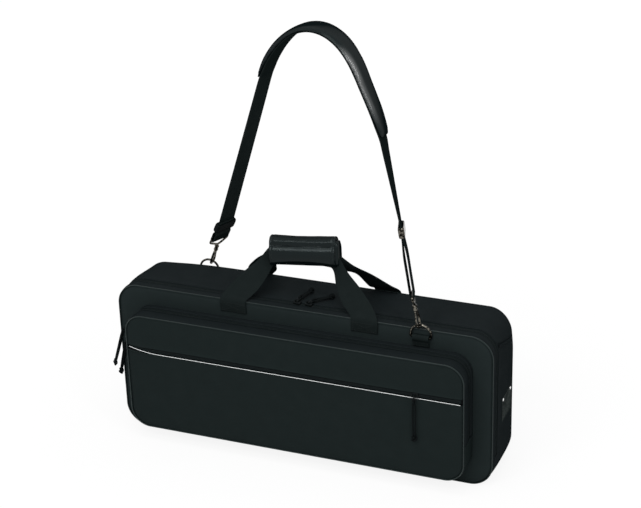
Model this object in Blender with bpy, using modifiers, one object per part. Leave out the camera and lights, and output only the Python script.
"""A padded keyboard gig bag, standing on its long narrow bottom.

X runs along the bag, +Y towards its back, +Z up. The origin is the middle of the
flat bottom. A clamshell lid carries a box pocket, whose upper half folds down as a
flap with a slip pocket in its face. Two webbing loops share one wrapped grip, and a
shoulder strap stands in an arch between a ring on the lid and a ring on the back.
All lengths are in metres.
"""
import math

import bmesh
import bpy
from mathutils import Matrix, Vector

# Main case
CASE_LENGTH = 0.720
CASE_HEIGHT = 0.295
CASE_DEPTH = 0.120
CORNER_RADIUS = 0.042
SKIN = 0.002
PADDING = 0.008
PIPE_RADIUS = 0.0022
PIPE_PROUD = 0.001
GAP = 0.0003
OVERRUN = 0.010

# Zips
ZIP_SET_BACK = 0.022
ZIP_TAPE_HALF = 0.006
ZIP_TAPE_THICK = 0.0016
ZIP_LOW_END = 0.050

# Box pocket on the lid
POCKET_END_MARGIN = 0.037
POCKET_BOTTOM = 0.030
POCKET_TOP = 0.260
POCKET_DEPTH = 0.050
POCKET_RADIUS = 0.036
POCKET_ZIP_SET_BACK = 0.031
FLAP_FOLD = 0.102
FACE_BACKING = 0.002
SLIP_DEPTH = 0.005
SLIP_ZIP_HEIGHT = 0.1925
SLIP_ZIP_HALF = 0.0055
SLIP_SIDE_WALL = 0.006
SLIP_FLOOR = 0.008
REFLECTIVE_RADIUS = 0.0012

# Rings and their tabs
RING_FROM_END = 0.130
RING_WIDTH = 0.041
RING_STRAIGHT = 0.0045
RING_WIRE = 0.00175
RING_BAR_BELOW_TOP = 0.014
RING_TAB_WIDTH = 0.030
RING_TAB_THICK = 0.008
RING_TAB_BELOW_BAR = 0.019
RING_TAB_ABOVE_BAR = 0.004

# Swivel hooks
HOOK_WIRE = 0.0019
HOOK_BOW_DEPTH = 0.0065
HOOK_BOW_HALF = 0.0068
HOOK_SPINE_TOP = 0.028
HOOK_BARREL_RADIUS = 0.0042
HOOK_BARREL_LOW = 0.0265
HOOK_BARREL_HIGH = 0.0375
GATE_RADIUS = 0.0014
GATE_LOW = 0.0080
EYE_WIRE = 0.0016
EYE_APEX = 0.0405
EYE_BASE = 0.0565
EYE_WIDTH = 0.046
EYE_SIDE = 0.0068
EYE_STEM_RADIUS = 0.0018

# Shoulder strap
WEB_WIDTH = 0.038
WEB_THICK = 0.002
STRAP_RISE = 0.502
FRONT_HOOK_LEAN = math.radians(12.9)
REAR_HOOK_LEAN = math.radians(21.3)
FRONT_WEB_TURN = math.radians(108.0)
REAR_WEB_TURN = math.radians(68.0)
FRONT_GLIDE_shares = (0.9175, 0.355)
REAR_GLIDE_shares = (0.098, 0.176)
PAD_PATH_shares = (
    (0.324, 0.771),
    (0.359, 0.837),
    (0.410, 0.904),
    (0.473, 0.957),
    (0.548, 0.984),
    (0.619, 0.979),
    (0.680, 0.946),
    (0.727, 0.891),
    (0.767, 0.817),
    (0.805, 0.742),
    (0.8455, 0.653),
)
PAD_WIDTH = 0.052
PAD_THICK = 0.009
PAD_END_WIDTH = 0.042
PAD_END_THICK = 0.0055
PAD_TURN = math.radians(18.0)
LOOP_GAPE = 0.0085

# Strap glides
GLIDE_WIDTH = 0.046
GLIDE_HEIGHT = 0.020
GLIDE_THICK = 0.0115
GLIDE_SLOT_WIDTH = 0.0396
GLIDE_SLOT = 0.0064

# Carrying handle
HANDLE_WEB = 0.050
HANDLE_WEB_IN_GRIP = 0.0265
HANDLE_FOOT_X = 0.125
HANDLE_FOOT_DROP = 0.024
HANDLE_LEG_shares = (
    (0.86, 0.21, 0.27, 0.82, 0.11, 0.15),
    (0.57, 0.485, 0.54, 0.43, 0.345, 0.355),
    (0.27, 0.715, 0.785, 0.18, 0.70, 0.745),
)
GRIP_LENGTH = 0.1235
GRIP_HEIGHT = 0.0565
GRIP_DEPTH = 0.032
GRIP_ABOVE_TOP = 0.0925
GRIP_X = -0.005
GRIP_Y = -0.012
GRIP_SLOT_HEIGHT = 0.0334
GRIP_SLOT_DEPTH = 0.0072
GRIP_SLOT_DROP = 0.010
HANDLE_WEB_SPREAD = 0.0015

# Card holder on the right end
CARD_WIDTH = 0.060
CARD_HEIGHT = 0.054
CARD_CENTRE_Y = 0.015
CARD_CENTRE_Z = 0.131
CARD_THICK = 0.0016
CARD_RADIUS = 0.006
RIVET_RADIUS = 0.0042
RIVET_HEIGHT = 0.0018
RIVET_INSET = 0.0075

# Zip sliders and their cord pulls
SLIDER_CLEAR = 0.0006
SLIDER_LENGTH = 0.014
SLIDER_WIDTH = 0.010
SLIDER_HEIGHT = 0.0035
EAR_HEIGHT = 0.0042
EAR_LENGTH = 0.005
EAR_THICK = 0.0014
BARREL_RADIUS = 0.0014
BARREL_LENGTH = 0.0040
TAB_LENGTH = 0.012
TAB_WIDTH = 0.0066
TAB_THICK = 0.0014
TAB_EYE_RADIUS = 0.0018
TAB_EYE_INSET = 0.0034
CORD_RADIUS = 0.00125
CORD_STEP_OVER = 0.0024
KNOT_RADIUS = 0.0036
MAIN_SLIDER_X = 0.011
MAIN_PULL_LENGTH = 0.050
SIDE_SLIDER_HIGH = 0.2165
SIDE_SLIDER_LOW = 0.190
SIDE_PULL_LENGTH = 0.083
FACE_SLIDER_FROM_END = 0.126
FACE_PULL_LENGTH = 0.088
PULL_SPREAD = 0.0042
FACE_PULL_SPREAD = 0.0022

# Steps on round shapes
CORNER_STEPS = 6
ROUND_SIDES = 12

# Levels and planes that follow from the sizes
HALF = CASE_LENGTH / 2
FRONT = -CASE_DEPTH / 2
BACK = CASE_DEPTH / 2
SEAM = 2 * PIPE_RADIUS + GAP
ZIP_Y = FRONT + ZIP_SET_BACK
LID_DEPTH = SKIN + GAP + PADDING
CASE_MOUTH = FRONT + LID_DEPTH + 2 * GAP
POCKET_HALF = HALF - POCKET_END_MARGIN
POCKET_FRONT = FRONT - POCKET_DEPTH
POCKET_ZIP_Y = POCKET_FRONT + POCKET_ZIP_SET_BACK
FACE_DEPTH = FACE_BACKING + SLIP_DEPTH + SKIN
RING_OFFSET = HALF - RING_FROM_END
RING_BAR_Z = CASE_HEIGHT - RING_BAR_BELOW_TOP
RING_Y = BACK + GAP + RING_TAB_THICK / 2
RING_TURN = RING_WIDTH / 2 - RING_WIRE
RING_TOP_Z = RING_BAR_Z + RING_STRAIGHT + RING_TURN
GRIP_Z = CASE_HEIGHT + GRIP_ABOVE_TOP

# The strap stands in the upright plane through the tops of both rings
FRONT_RING = Vector((RING_OFFSET, -RING_Y, RING_TOP_Z))
REAR_RING = Vector((-RING_OFFSET, RING_Y, RING_TOP_Z))
STRAP_SPAN = (FRONT_RING - REAR_RING).length
ALONG_STRAP = (FRONT_RING - REAR_RING).normalized()
UP = Vector((0, 0, 1))
ACROSS_STRAP = UP.cross(ALONG_STRAP)


def new_collection(name):
    """Make a collection in the scene and return it."""
    collection = bpy.data.collections.new(name)
    bpy.context.scene.collection.children.link(collection)
    return collection


def finish(name, colour, roughness, metallic=0.0):
    """Make a plain Principled finish."""
    made = bpy.data.materials.new(name)
    made.use_nodes = True
    shader = made.node_tree.nodes["Principled BSDF"]
    shader.inputs["Base Color"].default_value = (*colour, 1.0)
    shader.inputs["Roughness"].default_value = roughness
    shader.inputs["Metallic"].default_value = metallic
    return made


for old in list(bpy.data.objects):
    bpy.data.objects.remove(old, do_unlink=True)

BAG = new_collection("keyboard_gig_bag")
CUTTERS = new_collection("cutters")

FABRIC = finish("woven_fabric", (0.012, 0.014, 0.015), 0.85)
LINING = finish("padded_lining", (0.020, 0.021, 0.023), 0.9)
PIPING = finish("edge_piping", (0.035, 0.038, 0.040), 0.45)
REFLECTIVE = finish("reflective_piping", (0.75, 0.76, 0.76), 0.4)
WEBBING = finish("webbing", (0.012, 0.014, 0.014), 0.75)
LEATHERETTE = finish("leatherette", (0.015, 0.016, 0.016), 0.38)
TAPE = finish("zip_tape", (0.010, 0.011, 0.012), 0.7)
METAL = finish("gunmetal", (0.30, 0.29, 0.27), 0.3, 1.0)
VINYL = finish("clear_vinyl", (0.06, 0.065, 0.068), 0.25)
CORD = finish("pull_cord", (0.010, 0.010, 0.011), 0.7)

AXES = {}


def body_axis(name, place, parent=None):
    """Put an empty on a joint's axis, under the axis of the body that carries it."""
    empty = bpy.data.objects.new(name + "_axis", None)
    BAG.objects.link(empty)
    place = Vector(place)
    if parent:
        empty.parent = AXES[parent][0]
        empty.location = place - AXES[parent][1]
    else:
        empty.location = place
    AXES[name] = (empty, place)


def settle(piece, name, made_of, body=None):
    """Name a piece, give it its finish and hang it on its body's axis."""
    piece.name = name
    piece.data.name = name
    piece.data.materials.clear()
    piece.data.materials.append(made_of)
    if body:
        empty, place = AXES[body]
        piece.data.transform(Matrix.Translation(-place))
        piece.parent = empty
    if name not in BAG.objects:
        BAG.objects.link(piece)
    return piece


def mesh_object(shape):
    """Turn a bmesh into an object that isn't in a collection yet."""
    data = bpy.data.meshes.new("shape")
    shape.to_mesh(data)
    shape.free()
    return bpy.data.objects.new("shape", data)


def as_mesh(curve_piece):
    """Turn a curve into a closed mesh, so that it can be cut or joined."""
    BAG.objects.link(curve_piece)
    bpy.context.view_layer.update()
    graph = bpy.context.evaluated_depsgraph_get()
    data = bpy.data.meshes.new_from_object(curve_piece.evaluated_get(graph))
    shape = bmesh.new()
    shape.from_mesh(data)
    bmesh.ops.remove_doubles(shape, verts=shape.verts, dist=GAP / 100)
    shape.to_mesh(data)
    shape.free()
    made = bpy.data.objects.new("shape", data)
    made.matrix_world = curve_piece.matrix_world
    bpy.data.objects.remove(curve_piece, do_unlink=True)
    return made


def as_tool(piece):
    """Keep a piece as a cutter, hidden from the model."""
    CUTTERS.objects.link(piece)
    piece.hide_render = True
    piece.display_type = 'WIRE'
    return piece


def combine(piece, tool, operation):
    """Cut or join a piece with a tool."""
    step = piece.modifiers.new(operation.lower(), 'BOOLEAN')
    step.operation = operation
    step.object = as_tool(tool)
    step.solver = 'EXACT'
    return piece


def box(low, high):
    """A box between two opposite corners."""
    low = Vector(low)
    high = Vector(high)
    shape = bmesh.new()
    bmesh.ops.create_cube(shape, size=1.0)
    bmesh.ops.scale(shape, vec=high - low, verts=shape.verts)
    bmesh.ops.translate(shape, vec=(low + high) / 2, verts=shape.verts)
    return mesh_object(shape)


def turned_box(centre, sizes, frame):
    """A box of given sizes along the three columns of a frame."""
    shape = bmesh.new()
    bmesh.ops.create_cube(shape, size=1.0)
    bmesh.ops.scale(shape, vec=sizes, verts=shape.verts)
    bmesh.ops.transform(shape, matrix=Matrix.Translation(centre) @ frame.to_4x4(), verts=shape.verts)
    return mesh_object(shape)


def rod(start, end, radius, sides=ROUND_SIDES):
    """A round rod between two points."""
    start = Vector(start)
    run = Vector(end) - start
    shape = bmesh.new()
    bmesh.ops.create_cone(
        shape, cap_ends=True, segments=sides, radius1=radius, radius2=radius, depth=run.length
    )
    turn = run.to_track_quat('Z', 'Y').to_matrix().to_4x4()
    bmesh.ops.transform(shape, matrix=Matrix.Translation(start + run / 2) @ turn, verts=shape.verts)
    made = mesh_object(shape)
    made.data.shade_smooth()
    return made


def rounded_slab(half_x, low, high, front, back, radius):
    """A block with its four edges along Y rounded, as an open bmesh."""
    shape = bmesh.new()
    bmesh.ops.create_cube(shape, size=1.0)
    bmesh.ops.scale(shape, vec=(2 * half_x, back - front, high - low), verts=shape.verts)
    middle = (0, (front + back) / 2, (low + high) / 2)
    bmesh.ops.translate(shape, vec=middle, verts=shape.verts)
    deep = [e for e in shape.edges if abs(e.verts[0].co.y - e.verts[1].co.y) > (back - front) / 2]
    bmesh.ops.bevel(
        shape, geom=deep, offset=radius, segments=CORNER_STEPS, profile=0.5, affect='EDGES'
    )
    return shape


def drop_faces(shape, facing):
    """Take away the flat faces that look towards a side."""
    shape.normal_update()
    gone = [f for f in shape.faces if f.normal.y * facing > 0.9]
    bmesh.ops.delete(shape, geom=gone, context='FACES')


def plate(half_x, low, high, front, back, radius):
    """A panel with rounded corners."""
    return mesh_object(rounded_slab(half_x, low, high, front, back, radius))


def thicken(piece, thickness, offset=-1.0):
    """Give an open surface its wall, inwards unless told otherwise."""
    wall = piece.modifiers.new("wall", 'SOLIDIFY')
    wall.thickness = thickness
    wall.offset = offset
    wall.use_even_offset = True
    return piece


def band(half_x, low, high, front, back, radius, thickness):
    """A strip of wall that runs all round a rounded rectangle."""
    shape = rounded_slab(half_x, low, high, front, back, radius)
    drop_faces(shape, 1)
    drop_faces(shape, -1)
    return thicken(mesh_object(shape), thickness)


def cut_below(piece, level, front, back):
    """Take away what lies below a level between two depths."""
    reach = HALF + OVERRUN
    return combine(piece, box((-reach, front, -OVERRUN), (reach, back, level)), 'DIFFERENCE')


def cut_above(piece, level, front, back):
    """Take away what lies above a level between two depths."""
    reach = HALF + OVERRUN
    top = CASE_HEIGHT + OVERRUN
    return combine(piece, box((-reach, front, level), (reach, back, top)), 'DIFFERENCE')


def tube(points, radius, cyclic=False):
    """A round tube along a list of points."""
    curve = bpy.data.curves.new("tube", 'CURVE')
    curve.dimensions = '3D'
    curve.bevel_depth = radius
    curve.bevel_resolution = 2
    curve.use_fill_caps = True
    spline = curve.splines.new('POLY')
    spline.points.add(len(points) - 1)
    for knot, point in zip(spline.points, points):
        knot.co = (*point, 1.0)
    spline.use_cyclic_u = cyclic
    return bpy.data.objects.new("tube", curve)


def corner_arc(centre_x, centre_z, radius, start, y):
    """Points on a quarter turn in the XZ plane, clockwise from an angle in degrees."""
    points = []
    for step in range(CORNER_STEPS + 1):
        angle = math.radians(start - 90 * step / CORNER_STEPS)
        points.append(
            Vector((centre_x + radius * math.cos(angle), y, centre_z + radius * math.sin(angle)))
        )
    return points


def ring_points(half_x, low, high, radius, y):
    """Points round a rounded rectangle, from the top left corner clockwise."""
    inner = half_x - radius
    return (
        corner_arc(-inner, high - radius, radius, 180, y)
        + corner_arc(inner, high - radius, radius, 90, y)
        + corner_arc(inner, low + radius, radius, 0, y)
        + corner_arc(-inner, low + radius, radius, -90, y)
    )


def smooth_path(points, steps):
    """Points on a Catmull-Rom curve through a list of points."""
    ends = [2 * points[0] - points[1]] + list(points) + [2 * points[-1] - points[-2]]
    path = []
    for index in range(1, len(ends) - 2):
        a, b, c, d = ends[index - 1:index + 3]
        for step in range(steps):
            t = step / steps
            path.append(
                0.5 * (2 * b + (c - a) * t + (2 * a - 5 * b + 4 * c - d) * t * t
                       + (3 * b - a - 3 * c + d) * t * t * t)
            )
    path.append(points[-1].copy())
    return path


def ribbon(edges, thickness, cyclic=False):
    """A strip of webbing through pairs of edge points, thickened both ways."""
    shape = bmesh.new()
    rows = [(shape.verts.new(left), shape.verts.new(right)) for left, right in edges]
    count = len(rows) if cyclic else len(rows) - 1
    for index in range(count):
        here = rows[index]
        there = rows[(index + 1) % len(rows)]
        shape.faces.new((here[0], here[1], there[1], there[0]))
    return thicken(mesh_object(shape), thickness, 0.0)


def loft(sections):
    """A closed form through sections that have the same number of points."""
    shape = bmesh.new()
    rings = [[shape.verts.new(point) for point in section] for section in sections]
    for near, far in zip(rings, rings[1:]):
        for index in range(len(near)):
            after = (index + 1) % len(near)
            shape.faces.new((near[index], near[after], far[after], far[index]))
    shape.faces.new(rings[0])
    shape.faces.new(list(reversed(rings[-1])))
    bmesh.ops.recalc_face_normals(shape, faces=shape.faces)
    return mesh_object(shape)


def strap_point(shares):
    """A point of the strap's plane, from shares of its span and of its rise."""
    return REAR_RING + ALONG_STRAP * (shares[0] * STRAP_SPAN) + UP * (shares[1] * STRAP_RISE)


# Joint axes that the pieces hang on
LID_AXIS = (0, FRONT - PIPE_PROUD + PIPE_RADIUS, PIPE_RADIUS)
FLAP_AXIS = (0, POCKET_FRONT - PIPE_PROUD - GAP, FLAP_FOLD)
body_axis("lid", LID_AXIS)
body_axis("flap", FLAP_AXIS, "lid")
body_axis("grip", (GRIP_X, GRIP_Y, GRIP_Z))
body_axis("front_ring", (RING_OFFSET, -RING_Y, RING_BAR_Z), "lid")
body_axis("rear_ring", (-RING_OFFSET, RING_Y, RING_BAR_Z))

# Main case: gusset, back, padding and rear piping
SEAM_RADIUS = CORNER_RADIUS - SEAM
REACH = CASE_DEPTH + OVERRUN

gusset = band(HALF, 0, CASE_HEIGHT, CASE_MOUTH, BACK + PIPE_PROUD - SEAM, CORNER_RADIUS, SKIN)
cut_above(gusset, ZIP_LOW_END, -REACH, ZIP_Y + ZIP_TAPE_HALF + GAP)
settle(gusset, "case_gusset", FABRIC)

back = plate(HALF - SEAM, SEAM, CASE_HEIGHT - SEAM, BACK - SKIN, BACK, SEAM_RADIUS)
settle(back, "back_panel", FABRIC)

LINING_INSET = SKIN + GAP
tray = rounded_slab(
    HALF - LINING_INSET,
    LINING_INSET,
    CASE_HEIGHT - LINING_INSET,
    CASE_MOUTH,
    BACK - LINING_INSET,
    CORNER_RADIUS - LINING_INSET,
)
tray.normal_update()
rear_face = [f for f in tray.faces if f.normal.y > 0.9]
bmesh.ops.bevel(
    tray, geom=list(rear_face[0].edges), offset=SEAM, segments=1, profile=0.5, affect='EDGES'
)
drop_faces(tray, -1)
case_padding = thicken(mesh_object(tray), PADDING)
cut_above(case_padding, ZIP_LOW_END, -REACH, ZIP_Y + ZIP_TAPE_HALF + GAP)
settle(case_padding, "case_padding", LINING)


def piping_ring(half_x, low, high, radius, y):
    """Points of a piping cord that sits in the seam round a panel."""
    inset = PIPE_RADIUS
    return ring_points(half_x - inset, low + inset, high - inset, radius - inset, y)


back_ring = piping_ring(HALF, 0, CASE_HEIGHT, CORNER_RADIUS, BACK + PIPE_PROUD - PIPE_RADIUS)
settle(tube(back_ring, PIPE_RADIUS, True), "back_piping", PIPING)

# Lid: front panel, its padding, the strip behind it and the front piping
lid_panel = plate(HALF - SEAM, SEAM, CASE_HEIGHT - SEAM, FRONT, FRONT + SKIN, SEAM_RADIUS)
settle(lid_panel, "lid_panel", FABRIC, "lid")
lid_padding = plate(
    HALF - SEAM, SEAM, CASE_HEIGHT - SEAM, FRONT + SKIN + GAP, FRONT + LID_DEPTH, SEAM_RADIUS
)
settle(lid_padding, "lid_padding", LINING, "lid")
lid_strip = band(
    HALF, 0, CASE_HEIGHT, FRONT - PIPE_PROUD + SEAM, ZIP_Y - ZIP_TAPE_HALF - GAP, CORNER_RADIUS, SKIN
)
cut_below(lid_strip, ZIP_LOW_END + GAP, -REACH, REACH)
settle(lid_strip, "lid_strip", FABRIC, "lid")
lid_ring = piping_ring(HALF, 0, CASE_HEIGHT, CORNER_RADIUS, FRONT - PIPE_PROUD + PIPE_RADIUS)
settle(tube(lid_ring, PIPE_RADIUS, True), "lid_piping", PIPING, "lid")

# Main zip: one half of the tape on the lid, the other on the case
for name, body, front, back_edge in (
    ("main_zip_lid_tape", "lid", ZIP_Y - ZIP_TAPE_HALF, ZIP_Y - GAP / 2),
    ("main_zip_case_tape", None, ZIP_Y + GAP / 2, ZIP_Y + ZIP_TAPE_HALF),
):
    tape = band(HALF, 0, CASE_HEIGHT, front, back_edge, CORNER_RADIUS, ZIP_TAPE_THICK)
    cut_below(tape, ZIP_LOW_END + GAP, -REACH, REACH)
    settle(tape, name, TAPE, body)

# Box pocket: its wall on the lid, and the strip of wall that opens with the flap
POCKET_SEAM_RADIUS = POCKET_RADIUS - SEAM
POCKET_SEAM_Y = POCKET_FRONT - PIPE_PROUD + SEAM
POCKET_SPAN = (POCKET_HALF, POCKET_BOTTOM, POCKET_TOP)

pocket_wall = band(*POCKET_SPAN, POCKET_SEAM_Y, FRONT - GAP, POCKET_RADIUS, SKIN)
cut_above(pocket_wall, FLAP_FOLD, -REACH, POCKET_ZIP_Y + ZIP_TAPE_HALF + GAP)
settle(pocket_wall, "pocket_wall", FABRIC, "lid")

flap_strip = band(
    *POCKET_SPAN, POCKET_SEAM_Y, POCKET_ZIP_Y - ZIP_TAPE_HALF - GAP, POCKET_RADIUS, SKIN
)
cut_below(flap_strip, FLAP_FOLD + GAP, -REACH, REACH)
settle(flap_strip, "flap_strip", FABRIC, "flap")

for name, body, front, back_edge in (
    ("pocket_zip_flap_tape", "flap", POCKET_ZIP_Y - ZIP_TAPE_HALF, POCKET_ZIP_Y - GAP / 2),
    ("pocket_zip_wall_tape", "lid", POCKET_ZIP_Y + GAP / 2, POCKET_ZIP_Y + ZIP_TAPE_HALF),
):
    tape = band(*POCKET_SPAN, front, back_edge, POCKET_RADIUS, ZIP_TAPE_THICK)
    cut_below(tape, FLAP_FOLD + GAP, -REACH, REACH)
    settle(tape, name, TAPE, body)

# Pocket piping, in two runs that part at the fold
PIPE_X = POCKET_HALF - PIPE_RADIUS
PIPE_Y = POCKET_FRONT - PIPE_PROUD + PIPE_RADIUS
pocket_ring = piping_ring(*POCKET_SPAN, POCKET_RADIUS, PIPE_Y)
upper_run = pocket_ring[:2 * (CORNER_STEPS + 1)]
lower_run = pocket_ring[2 * (CORNER_STEPS + 1):]
fold_up = FLAP_FOLD + GAP
fold_down = FLAP_FOLD - GAP
flap_line = [Vector((-PIPE_X, PIPE_Y, fold_up))] + upper_run + [Vector((PIPE_X, PIPE_Y, fold_up))]
low_line = [Vector((PIPE_X, PIPE_Y, fold_down))] + lower_run + [Vector((-PIPE_X, PIPE_Y, fold_down))]
settle(tube(flap_line, PIPE_RADIUS), "flap_piping", PIPING, "flap")
settle(tube(low_line, PIPE_RADIUS), "pocket_piping", PIPING, "lid")

# Pocket face: a thick panel with a slip pocket let into it, in two parts at the fold
FACE_HALF = POCKET_HALF - SEAM
FACE_LOW = POCKET_BOTTOM + SEAM
FACE_HIGH = POCKET_TOP - SEAM
FACE_BACK = POCKET_FRONT + FACE_DEPTH
SLIP_HALF = FACE_HALF - SLIP_SIDE_WALL
SLIP_BACK = FACE_BACK - FACE_BACKING
SLIP_LOW = FACE_LOW + SLIP_FLOOR
SLIP_HIGH = SLIP_ZIP_HEIGHT + SLIP_ZIP_HALF
SKIN_TOP = SLIP_ZIP_HEIGHT - SLIP_ZIP_HALF


def face_panel(hollow):
    """The whole face with the slip pocket let into it, before it is parted at the fold."""
    panel = plate(FACE_HALF, FACE_LOW, FACE_HIGH, POCKET_FRONT, FACE_BACK, POCKET_SEAM_RADIUS)
    return combine(panel, hollow, 'DIFFERENCE')


square_hollow = box(
    (-SLIP_HALF, POCKET_FRONT - OVERRUN, SLIP_LOW), (SLIP_HALF, SLIP_BACK, SLIP_HIGH)
)
flap_face = cut_below(face_panel(square_hollow), fold_up, -REACH, REACH)
settle(flap_face, "flap_panel", FABRIC, "flap")
SLIP_RADIUS = POCKET_SEAM_RADIUS - SLIP_SIDE_WALL
round_hollow = plate(SLIP_HALF, SLIP_LOW, SLIP_HIGH, POCKET_FRONT - OVERRUN, SLIP_BACK, SLIP_RADIUS)
low_face = cut_above(face_panel(round_hollow), FLAP_FOLD, -REACH, REACH)
settle(low_face, "pocket_lower_panel", FABRIC, "lid")

SKIN_HALF = SLIP_HALF - GAP


upper_skin = box(
    (-SKIN_HALF, POCKET_FRONT, fold_up),
    (SKIN_HALF, POCKET_FRONT + SKIN, SKIN_TOP - 2 * REFLECTIVE_RADIUS),
)
settle(upper_skin, "slip_pocket_upper", FABRIC, "flap")
lower_skin = plate(
    SKIN_HALF, SLIP_LOW + GAP, SKIN_TOP, POCKET_FRONT, POCKET_FRONT + SKIN, SLIP_RADIUS - GAP
)
cut_above(lower_skin, FLAP_FOLD, -REACH, REACH)
settle(lower_skin, "slip_pocket_lower", FABRIC, "lid")

reflective_z = SKIN_TOP - REFLECTIVE_RADIUS + GAP
reflective_y = POCKET_FRONT - REFLECTIVE_RADIUS / 2
reflective = rod(
    (-SKIN_HALF, reflective_y, reflective_z), (SKIN_HALF, reflective_y, reflective_z), REFLECTIVE_RADIUS
)
settle(reflective, "reflective_piping", REFLECTIVE, "flap")

slip_tape = box(
    (-SKIN_HALF, POCKET_FRONT + GAP, SKIN_TOP + 2 * GAP),
    (SKIN_HALF, POCKET_FRONT + ZIP_TAPE_THICK, SLIP_HIGH - GAP),
)
settle(slip_tape, "slip_pocket_zip_tape", TAPE, "flap")


# Rings and the tabs that hold them
def ring_path(middle_x, y):
    """A D from its bar up round the bow, in an upright plane."""
    low = RING_BAR_Z + RING_STRAIGHT
    points = [
        Vector((middle_x - RING_TURN, y, RING_BAR_Z)),
        Vector((middle_x - RING_TURN, y, low)),
    ]
    for step in range(1, ROUND_SIDES):
        angle = math.pi * (1 - step / ROUND_SIDES)
        points.append(
            Vector((middle_x + RING_TURN * math.cos(angle), y, low + RING_TURN * math.sin(angle)))
        )
    points.append(Vector((middle_x + RING_TURN, y, low)))
    points.append(Vector((middle_x + RING_TURN, y, RING_BAR_Z)))
    return points


for name, body, tab_body, side in (
    ("front", "front_ring", "lid", -1),
    ("rear", "rear_ring", None, 1),
):
    middle_x = -side * RING_OFFSET
    ring_y = side * RING_Y
    settle(tube(ring_path(middle_x, ring_y), RING_WIRE, True), name + "_d_ring", METAL, body)
    near = side * (BACK + GAP)
    far = side * (BACK + GAP + RING_TAB_THICK)
    tab = box(
        (middle_x - RING_TAB_WIDTH / 2, min(near, far), RING_BAR_Z - RING_TAB_BELOW_BAR),
        (middle_x + RING_TAB_WIDTH / 2, max(near, far), RING_BAR_Z + RING_TAB_ABOVE_BAR),
    )
    bore = rod(
        (middle_x - RING_TAB_WIDTH, ring_y, RING_BAR_Z),
        (middle_x + RING_TAB_WIDTH, ring_y, RING_BAR_Z),
        RING_WIRE + 2 * GAP,
    )
    settle(combine(tab, bore, 'DIFFERENCE'), name + "_ring_tab", WEBBING, tab_body)


# Swivel hooks, one on each ring
def hook_frame(ring_top, lean, web_turn):
    """Where a hook sits on its ring, and its axes: up its stem, across its bow, along its webbing."""
    stem = (ALONG_STRAP * math.sin(lean) + UP * math.cos(lean)).normalized()
    roll = math.atan2(stem.x, stem.z)
    ring = ring_top + Vector((math.sin(roll), 0, math.cos(roll) - 1)) * RING_TURN
    bow = Vector((0, 1, 0))
    bow = (bow - stem * bow.dot(stem)).normalized()
    width = Vector((math.cos(web_turn), math.sin(web_turn), 0))
    width = (width - stem * width.dot(stem)).normalized()
    return ring, stem, bow, width


HOOKS = {
    "front": hook_frame(FRONT_RING, -FRONT_HOOK_LEAN, FRONT_WEB_TURN),
    "rear": hook_frame(REAR_RING, REAR_HOOK_LEAN, REAR_WEB_TURN),
}
GATE_SIDE = {"front": -1, "rear": 1}
GATE_HIGH = HOOK_BARREL_LOW - 2 * GAP
NOSE_TOP = GATE_LOW - 2 * GAP
BOW_LEVEL = HOOK_BOW_DEPTH - RING_WIRE - HOOK_WIRE - 2 * GAP


def hook_point(name, across, up):
    """A point in a hook's own plane."""
    ring, stem, bow, width = HOOKS[name]
    return ring + bow * (across * GATE_SIDE[name]) + stem * up


for name, carrier in (("front", "lid"), ("rear", None)):
    ring, stem, bow, width = HOOKS[name]
    body_axis(name + "_hook", ring, carrier)
    body_axis(name + "_gate", hook_point(name, HOOK_BOW_HALF / 2, GATE_HIGH), name + "_hook")
    spine = [
        hook_point(name, 0, HOOK_SPINE_TOP),
        hook_point(name, -HOOK_BOW_HALF / 2, HOOK_SPINE_TOP - HOOK_BOW_HALF / 2),
        hook_point(name, -HOOK_BOW_HALF, HOOK_SPINE_TOP / 2),
        hook_point(name, -HOOK_BOW_HALF, BOW_LEVEL),
    ]
    for step in range(1, 8):
        angle = math.pi * (1 + step / 8)
        across = HOOK_BOW_HALF * math.cos(angle)
        spine.append(hook_point(name, across, BOW_LEVEL + HOOK_BOW_DEPTH * math.sin(angle)))
    spine.append(hook_point(name, HOOK_BOW_HALF, BOW_LEVEL))
    spine.append(hook_point(name, HOOK_BOW_HALF, NOSE_TOP))
    hook = as_mesh(tube(spine, HOOK_WIRE))
    barrel = rod(
        ring + stem * HOOK_BARREL_LOW, ring + stem * HOOK_BARREL_HIGH, HOOK_BARREL_RADIUS
    )
    settle(combine(hook, barrel, 'UNION'), name + "_hook", METAL, name + "_hook")
    gate = rod(
        hook_point(name, HOOK_BOW_HALF, GATE_LOW),
        hook_point(name, HOOK_BOW_HALF / 2, GATE_HIGH),
        GATE_RADIUS,
        8,
    )
    settle(gate, name + "_hook_gate", METAL, name + "_gate")
    half = EYE_WIDTH / 2 - EYE_WIRE
    turn_in = EYE_WIRE * 1.5
    eye_line = [
        ring + stem * EYE_APEX,
        ring + stem * (EYE_BASE - EYE_SIDE) + width * half,
        ring + stem * (EYE_BASE - turn_in) + width * half,
        ring + stem * EYE_BASE + width * (half - turn_in),
        ring + stem * EYE_BASE - width * (half - turn_in),
        ring + stem * (EYE_BASE - turn_in) - width * half,
        ring + stem * (EYE_BASE - EYE_SIDE) - width * half,
    ]
    eye = as_mesh(tube(eye_line, EYE_WIRE, True))
    stub = rod(ring + stem * (HOOK_BARREL_HIGH + GAP), ring + stem * EYE_APEX, EYE_STEM_RADIUS, 8)
    settle(combine(eye, stub, 'UNION'), name + "_hook_eye", METAL, carrier)


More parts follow.
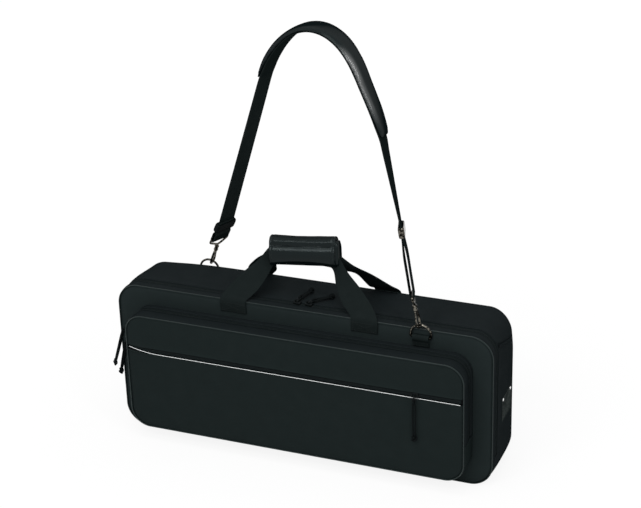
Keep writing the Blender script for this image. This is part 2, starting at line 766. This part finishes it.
# Strap webbing: a loop round each eye, then one run over the shoulder
def web_loop(name, glide, gape):
    """A webbing loop from a hook's eye up into its glide, as a closed ribbon."""
    ring, stem, bow, width = HOOKS[name]
    bar = ring + stem * EYE_BASE
    run = glide - bar
    face = run.cross(width).normalized()
    turn = EYE_WIRE + 2 * GAP + WEB_THICK / 2
    side = max(turn, gape / 2)
    ends = (WEB_THICK + GAP) / 2
    glide_low = 1 - GLIDE_HEIGHT / run.length
    offsets = (
        (-turn / run.length, 0),
        (-0.7 * turn / run.length, 0.7 * turn),
        (0, turn),
        (0.35 * glide_low, side),
        (0.70 * glide_low, side),
        (glide_low, ends),
        (1, ends),
    )
    line = [bar + run * share + face * out for share, out in offsets]
    line += [bar + run * share - face * out for share, out in reversed(offsets[1:])]
    return ribbon([(p - width * (WEB_WIDTH / 2), p + width * (WEB_WIDTH / 2)) for p in line],
                  WEB_THICK, True)


FRONT_GLIDE = strap_point(FRONT_GLIDE_shares)
REAR_GLIDE = strap_point(REAR_GLIDE_shares)
settle(web_loop("front", FRONT_GLIDE, LOOP_GAPE), "front_strap_loop", WEBBING, "lid")
settle(web_loop("rear", REAR_GLIDE, 0), "rear_strap_loop", WEBBING)

PAD_PATH = smooth_path([strap_point(shares) for shares in PAD_PATH_shares], 2)
body_axis("strap", REAR_GLIDE)


def strap_width(share):
    """The way across the strap, which turns from the pad's rear end to its front end."""
    turn = PAD_TURN * share
    return ACROSS_STRAP * math.cos(turn) - ALONG_STRAP * math.sin(turn)


def leg_rows(glide, pad_end, width_low, width_high, steps):
    """Edge points of a single run of webbing, which turns on its way to the pad."""
    along = (pad_end - glide).normalized()
    start = glide + along * (WEB_THICK + GAP)
    rows = []
    for step in range(steps):
        share = step / steps
        point = start + (pad_end - start) * share
        width = width_low.lerp(width_high, share)
        width = (width - along * width.dot(along)).normalized() * (WEB_WIDTH / 2)
        rows.append((point - width, point + width))
    return rows


def path_frame(path, index):
    """The ways across and out of the strap at one point of its path."""
    before = path[max(index - 1, 0)]
    after = path[min(index + 1, len(path) - 1)]
    along = (after - before).normalized()
    across = strap_width(index / (len(path) - 1))
    across = (across - along * across.dot(along)).normalized()
    return across, along.cross(across)


web_rows = leg_rows(REAR_GLIDE, PAD_PATH[0], HOOKS["rear"][3], strap_width(0), 6)
for index, point in enumerate(PAD_PATH):
    across, out = path_frame(PAD_PATH, index)
    web_rows.append((point - across * (WEB_WIDTH / 2), point + across * (WEB_WIDTH / 2)))
web_rows += reversed(leg_rows(FRONT_GLIDE, PAD_PATH[-1], HOOKS["front"][3], strap_width(1), 6))
settle(ribbon(web_rows, WEB_THICK), "strap_webbing", WEBBING, "strap")

# Shoulder pad: crowned on its outer face, with tapered ends
PAD_PROFILE_shares = (
    (-0.50, 0.10),
    (-0.40, 0.70),
    (-0.15, 1.00),
    (0.15, 1.00),
    (0.40, 0.70),
    (0.50, 0.10),
    (0.42, 0.00),
    (-0.42, 0.00),
)
pad_sections = []
for index, point in enumerate(PAD_PATH):
    across, out = path_frame(PAD_PATH, index)
    share = index / (len(PAD_PATH) - 1)
    full = min(1.0, 6 * min(share, 1 - share))
    full = math.sin(full * math.pi / 2)
    wide = PAD_END_WIDTH + (PAD_WIDTH - PAD_END_WIDTH) * full
    thick = PAD_END_THICK + (PAD_THICK - PAD_END_THICK) * full
    seat = point + out * (WEB_THICK / 2 + GAP)
    pad_sections.append(
        [seat + across * (a * wide) + out * (b * thick) for a, b in PAD_PROFILE_shares]
    )
settle(loft(pad_sections), "shoulder_pad", LEATHERETTE, "strap")


# Strap glides: a frame that the webbing runs through
def glide_frame(name, glide, toward):
    """A glide's axes: across the webbing, through it, and along it."""
    along = (toward - glide).normalized()
    width = HOOKS[name][3]
    width = (width - along * width.dot(along)).normalized()
    return Matrix((width, along.cross(width), along)).transposed()


for name, glide, carrier in (("front", FRONT_GLIDE, None), ("rear", REAR_GLIDE, None)):
    ring, stem, bow, width = HOOKS[name]
    frame = glide_frame(name, ring + stem * EYE_BASE, glide)
    seat = glide + frame.col[2] * (WEB_THICK - GLIDE_HEIGHT / 2)
    body_axis(name + "_glide", seat, carrier)
    outer = turned_box(seat, (GLIDE_WIDTH, GLIDE_THICK, GLIDE_HEIGHT), frame)
    slot = turned_box(seat, (GLIDE_SLOT_WIDTH, GLIDE_SLOT, GLIDE_HEIGHT + OVERRUN), frame)
    settle(combine(outer, slot, 'DIFFERENCE'), name + "_strap_glide", METAL, name + "_glide")


# Handle: two webbing loops, sewn to the lid and to the back, inside one wrapped grip
def handle_leg(side, foot):
    """Edge points of one leg of a webbing loop, from its foot on the case up to the grip's end."""
    face_y = side * (BACK + PIPE_PROUD + GAP + WEB_THICK / 2)
    grip_y = GRIP_Y + side * HANDLE_WEB_SPREAD
    lean = grip_y - face_y
    end_x = GRIP_LENGTH / 2 + foot * GRIP_X
    outer_x = HANDLE_FOOT_X + HANDLE_WEB / 2
    inner_x = HANDLE_FOOT_X - HANDLE_WEB / 2
    low = CASE_HEIGHT - HANDLE_FOOT_DROP
    clear_top = CASE_HEIGHT + 2 * GAP
    high_z = GRIP_Z - GRIP_SLOT_DROP + HANDLE_WEB_IN_GRIP / 2
    low_z = GRIP_Z - GRIP_SLOT_DROP - HANDLE_WEB_IN_GRIP / 2
    rows = [
        ((outer_x, face_y, low), (inner_x, face_y, low)),
        ((outer_x, face_y, clear_top), (inner_x, face_y, clear_top)),
    ]
    for out_x, out_up, out_y, in_x, in_up, in_y in HANDLE_LEG_shares:
        outer_edge = (
            end_x + (outer_x - end_x) * out_x,
            face_y + lean * out_y,
            clear_top + (high_z - clear_top) * out_up,
        )
        inner_edge = (
            end_x + (inner_x - end_x) * in_x,
            face_y + lean * in_y,
            clear_top + (low_z - clear_top) * in_up,
        )
        rows.append((outer_edge, inner_edge))
    rows.append(((end_x, grip_y, high_z), (end_x, grip_y, low_z)))
    return [((foot * a[0], a[1], a[2]), (foot * b[0], b[1], b[2])) for a, b in rows]


def handle_loop(side):
    """A webbing loop from one foot through the grip to the other foot."""
    return ribbon(handle_leg(side, 1) + list(reversed(handle_leg(side, -1))), WEB_THICK)


settle(handle_loop(-1), "front_handle_loop", WEBBING, "lid")
settle(handle_loop(1), "rear_handle_loop", WEBBING)


def oval(half_y, half_z, straight, middle, clockwise):
    """An upright oval outline in the YZ plane, with its middle at a height."""
    points = []
    for step in range(2 * ROUND_SIDES):
        angle = 2 * math.pi * step / (2 * ROUND_SIDES)
        rise = math.sin(angle) * half_y
        rise += straight if math.sin(angle) > 0 else -straight if math.sin(angle) < 0 else 0
        points.append((math.cos(angle) * half_y, rise))
    scale = half_z / (half_y + straight)
    points = [(y, middle + z * scale) for y, z in points]
    return list(reversed(points)) if clockwise else points


def outline_solid(outlines, half_length):
    """A flat outline with holes, drawn out both ways along X."""
    curve = bpy.data.curves.new("outline", 'CURVE')
    curve.dimensions = '2D'
    curve.fill_mode = 'BOTH'
    curve.extrude = half_length
    for outline in outlines:
        spline = curve.splines.new('POLY')
        spline.points.add(len(outline) - 1)
        for knot, point in zip(spline.points, outline):
            knot.co = (point[0], point[1], 0, 1.0)
        spline.use_cyclic_u = True
    return bpy.data.objects.new("outline", curve)


wrap = as_mesh(
    outline_solid(
        [
            oval(GRIP_DEPTH / 2, GRIP_HEIGHT / 2, (GRIP_HEIGHT - GRIP_DEPTH) / 2, 0, False),
            oval(
                GRIP_SLOT_DEPTH / 2,
                GRIP_SLOT_HEIGHT / 2,
                (GRIP_SLOT_HEIGHT - GRIP_SLOT_DEPTH) / 2,
                -GRIP_SLOT_DROP,
                True,
            ),
        ],
        GRIP_LENGTH / 2,
    )
)
stand_up = Matrix(((0, 0, 1), (1, 0, 0), (0, 1, 0))).to_4x4()
wrap.data.transform(Matrix.Translation((GRIP_X, GRIP_Y, GRIP_Z)) @ stand_up)
settle(wrap, "grip_wrap", LEATHERETTE, "grip")

# Card holder on the right end
card = rounded_slab(
    CARD_WIDTH / 2, -CARD_HEIGHT / 2, CARD_HEIGHT / 2, -CARD_THICK / 2, CARD_THICK / 2, CARD_RADIUS
)
card = mesh_object(card)
card_x = HALF + GAP + CARD_THICK / 2
quarter = Matrix.Rotation(math.pi / 2, 4, 'Z')
card.data.transform(Matrix.Translation((card_x, CARD_CENTRE_Y, CARD_CENTRE_Z)) @ quarter)
settle(card, "card_holder", VINYL)
for name, side in (("front", -1), ("rear", 1)):
    shape = bmesh.new()
    bmesh.ops.create_cone(
        shape,
        cap_ends=True,
        segments=ROUND_SIDES,
        radius1=RIVET_RADIUS,
        radius2=RIVET_RADIUS / 2,
        depth=RIVET_HEIGHT,
    )
    rivet = mesh_object(shape)
    rivet_x = card_x + CARD_THICK / 2 + GAP + RIVET_HEIGHT / 2
    rivet_y = CARD_CENTRE_Y + side * (CARD_WIDTH / 2 - RIVET_INSET)
    rivet_z = CARD_CENTRE_Z + CARD_HEIGHT / 2 - RIVET_INSET
    tip = Matrix.Rotation(math.pi / 2, 4, 'Y')
    rivet.data.transform(Matrix.Translation((rivet_x, rivet_y, rivet_z)) @ tip)
    settle(rivet, "card_rivet_" + name, METAL)


# Zip sliders, each with a metal tab and a cord pull
def zip_pull(name, carrier, place, along, outward, lie, hang, length, spread):
    """A slider on its zip, the tab hinged on it, and the knotted cord through the tab."""
    place = Vector(place)
    along = Vector(along)
    outward = Vector(outward)
    lie = Vector(lie).normalized()
    hang = Vector(hang).normalized()
    hinge = outward.cross(lie).normalized()
    flat = hinge.cross(outward)
    body_axis(name + "_slider", place, carrier)
    base_frame = Matrix((along, outward.cross(along), outward)).transposed()
    ear_frame = Matrix((flat, hinge, outward)).transposed()
    base_mid = place + outward * (SLIDER_CLEAR + SLIDER_HEIGHT / 2)
    slider = turned_box(base_mid, (SLIDER_LENGTH, SLIDER_WIDTH, SLIDER_HEIGHT), base_frame)
    ear_mid = place + outward * (SLIDER_CLEAR + SLIDER_HEIGHT + EAR_HEIGHT / 2 - 2 * GAP)
    ear_side = BARREL_LENGTH / 2 + GAP + EAR_THICK / 2
    for side in (-1, 1):
        ear = turned_box(
            ear_mid + hinge * (side * ear_side), (EAR_LENGTH, EAR_THICK, EAR_HEIGHT), ear_frame
        )
        combine(slider, ear, 'UNION')
    settle(slider, name + "_slider", METAL, name + "_slider")

    pivot = place + outward * (SLIDER_CLEAR + SLIDER_HEIGHT + EAR_HEIGHT / 2)
    body_axis(name + "_pull", pivot, name + "_slider")
    tab_frame = Matrix((lie, hinge, lie.cross(hinge))).transposed()
    neck = turned_box(
        pivot + lie * (EAR_LENGTH / 2),
        (EAR_LENGTH, BARREL_LENGTH - 2 * GAP, TAB_THICK),
        tab_frame,
    )
    paddle_start = EAR_LENGTH * 0.75
    paddle = turned_box(
        pivot + lie * ((TAB_LENGTH + paddle_start) / 2),
        (TAB_LENGTH - paddle_start, TAB_WIDTH, TAB_THICK + GAP),
        tab_frame,
    )
    half_barrel = BARREL_LENGTH / 2
    barrel = rod(pivot - hinge * half_barrel, pivot + hinge * half_barrel, BARREL_RADIUS, 8)
    top = lie.cross(hinge)
    eye = pivot + lie * (TAB_LENGTH - TAB_EYE_INSET)
    bore = rod(eye - top * OVERRUN, eye + top * OVERRUN, TAB_EYE_RADIUS, 8)
    combine(neck, paddle, 'UNION')
    combine(neck, barrel, 'UNION')
    combine(neck, bore, 'DIFFERENCE')
    settle(neck, name + "_tab", METAL, name + "_pull")

    far = length - (TAB_LENGTH - TAB_EYE_INSET) - KNOT_RADIUS
    bend = TAB_LENGTH * 0.6
    start = eye + lie * bend

    def along_pull(distance):
        """A point down the middle of the pull, which turns from the tab's way to its own."""
        if distance <= bend:
            return eye + lie * distance
        return start + hang * (distance - bend)

    past_tab = TAB_EYE_INSET + CORD_RADIUS
    stations = (
        (0, 0, CORD_STEP_OVER / 2),
        (CORD_STEP_OVER / 2, 0, CORD_STEP_OVER),
        (past_tab, CORD_RADIUS / 2, CORD_STEP_OVER),
        (2.5 * past_tab, spread, CORD_RADIUS / 3),
        (0.65 * far, spread, 0),
        (far, CORD_RADIUS + GAP, 0),
    )
    upper = [along_pull(run) + hinge * out + top * over for run, out, over in stations]
    lower = [along_pull(run) - hinge * out - top * over for run, out, over in stations]
    cord = as_mesh(tube(list(reversed(upper)) + lower, CORD_RADIUS))
    shape = bmesh.new()
    bmesh.ops.create_uvsphere(shape, u_segments=8, v_segments=6, radius=KNOT_RADIUS)
    bmesh.ops.translate(shape, vec=along_pull(far), verts=shape.verts)
    knot = mesh_object(shape)
    settle(combine(cord, knot, 'UNION'), name + "_cord", CORD, name + "_pull")


TOP = CASE_HEIGHT
zip_pull(
    "main_left", None, (-MAIN_SLIDER_X, ZIP_Y, TOP), (1, 0, 0), (0, 0, 1),
    (0.12, 0.99, 0), (0.25, 0.97, 0), MAIN_PULL_LENGTH, PULL_SPREAD,
)
zip_pull(
    "main_right", None, (MAIN_SLIDER_X, ZIP_Y, TOP), (1, 0, 0), (0, 0, 1),
    (0.60, 0.80, 0), (0.72, 0.69, 0), MAIN_PULL_LENGTH, PULL_SPREAD,
)
zip_pull(
    "side_upper", "lid", (-POCKET_HALF, POCKET_ZIP_Y, SIDE_SLIDER_HIGH), (0, 0, 1), (-1, 0, 0),
    (-0.80, -0.40, -0.45), (-0.22, -0.20, -0.95), SIDE_PULL_LENGTH, PULL_SPREAD,
)
zip_pull(
    "side_lower", "lid", (-POCKET_HALF, POCKET_ZIP_Y, SIDE_SLIDER_LOW), (0, 0, 1), (-1, 0, 0),
    (-0.80, 0.15, -0.57), (-0.10, 0.05, -0.99), SIDE_PULL_LENGTH, PULL_SPREAD,
)
zip_pull(
    "face", "flap", (HALF - FACE_SLIDER_FROM_END, POCKET_FRONT, SLIP_ZIP_HEIGHT), (1, 0, 0), (0, -1, 0),
    (0, 0, -1), (0, 0, -1), FACE_PULL_LENGTH, FACE_PULL_SPREAD,
)
